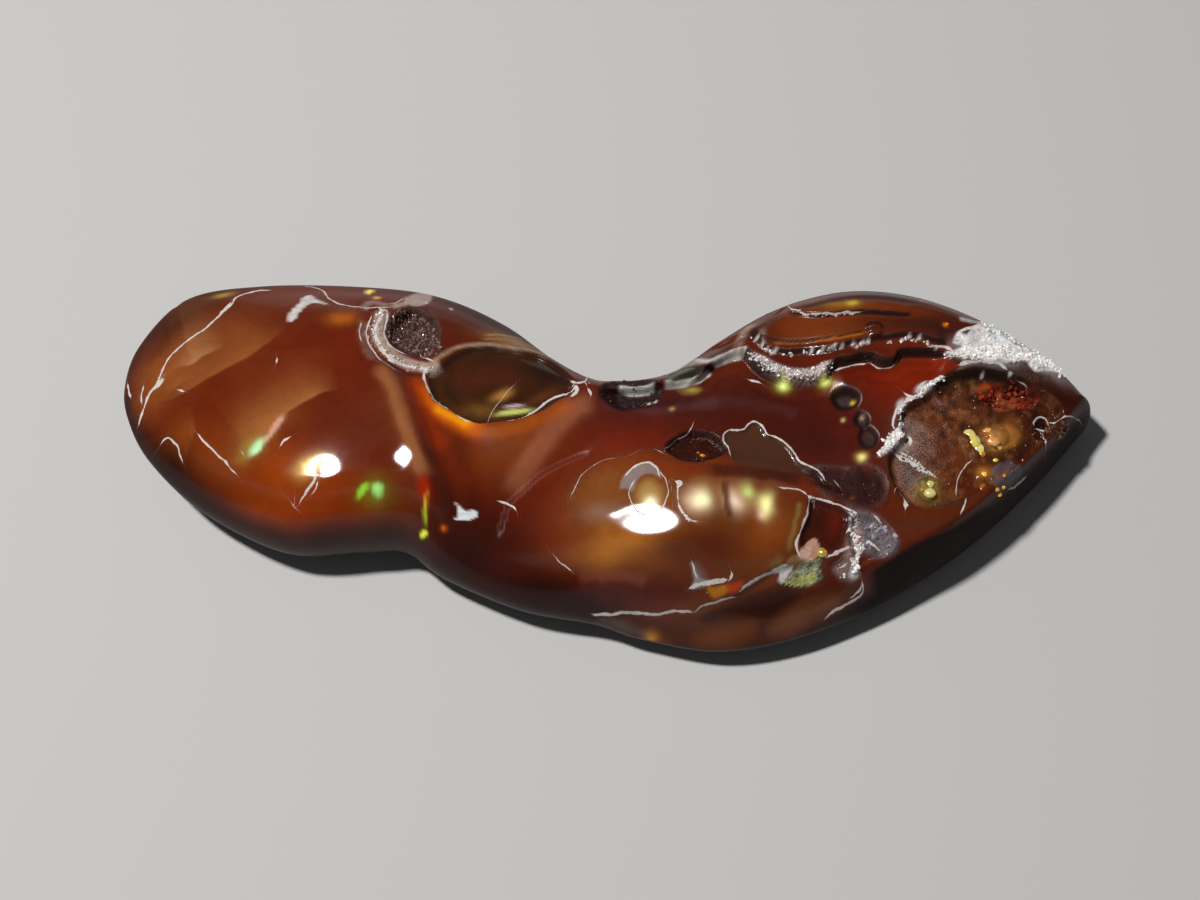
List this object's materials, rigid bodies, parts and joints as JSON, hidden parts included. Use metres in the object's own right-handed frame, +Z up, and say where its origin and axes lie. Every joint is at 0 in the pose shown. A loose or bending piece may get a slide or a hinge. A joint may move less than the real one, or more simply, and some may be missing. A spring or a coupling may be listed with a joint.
{
  "type": "fire agate specimen",
  "caption": "Polished freeform of fire agate: a long, waisted pebble with domed brown lobes, ledges, pits and a flat-ground back to lie on.",
  "frame": {"origin": "centre of the bounding box in plan, on the flat back that the stone lies on", "axes": "+X along the stone towards its pointed end, +Y towards the waisted long side, +Z up through the polished crown"},
  "size_m": [0.0512, 0.0204, 0.0077],
  "materials": {
    "agate": "polished translucent brown chalcedony, with broken and unpolished places"
  },
  "bodies": {
    "root": {"fire_agate": "agate"}
  },
  "joints": []
}
